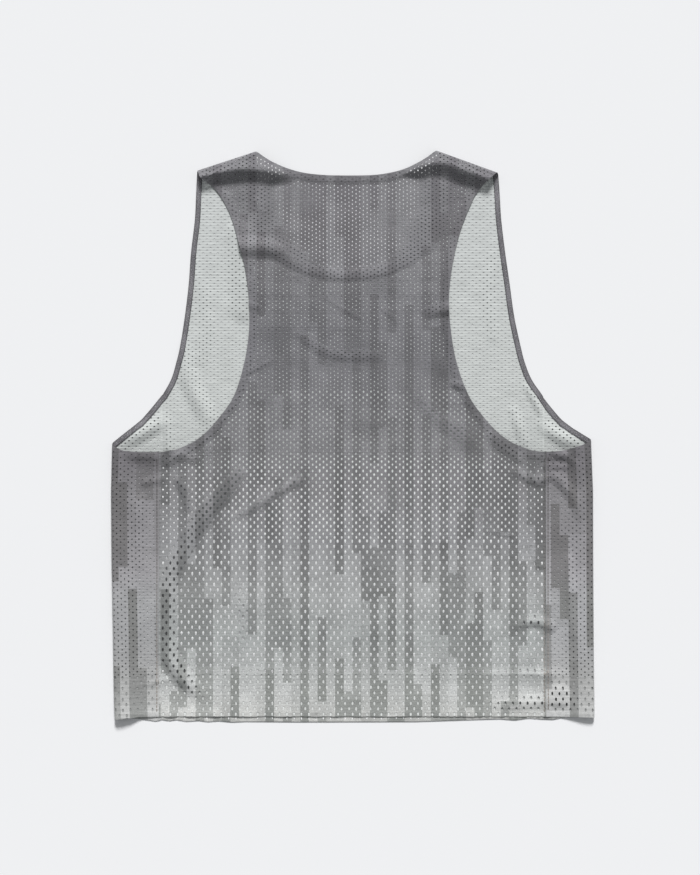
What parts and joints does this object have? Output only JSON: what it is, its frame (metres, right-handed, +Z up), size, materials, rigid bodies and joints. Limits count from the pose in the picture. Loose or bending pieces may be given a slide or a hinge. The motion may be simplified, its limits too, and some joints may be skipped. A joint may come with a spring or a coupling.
{
  "type": "running singlet",
  "caption": "Cropped mesh running singlet laid flat with its back up: racer-cut armholes, wrapped side panels, bound edges and a deep turned-up hem.",
  "frame": {"origin": "on the table under the middle of the laid garment's outline", "axes": "+X across the chest to the right as seen from above, +Y from the hem to the neck, +Z up from the table"},
  "size_m": [0.5266, 0.6229, 0.0106],
  "materials": {
    "front_mesh": "pale grey-green unprinted inside of open knit mesh, matt; its outer face is printed like the back",
    "back_mesh": "open knit mesh, printed in greys that fade from dark at the neck to pale at the hem, matt",
    "side_mesh": "finer open knit mesh, printed in greys that fade down to the hem, matt",
    "binding": "folded strip of the printed mesh, dark grey, matt"
  },
  "bodies": {
    "root": {"front_panel": "front_mesh", "back_panel": "back_mesh", "side_panel_left": "side_mesh", "side_panel_right": "side_mesh", "armhole_binding_left": "binding", "armhole_binding_right": "binding", "neck_binding": "binding"}
  },
  "joints": []
}
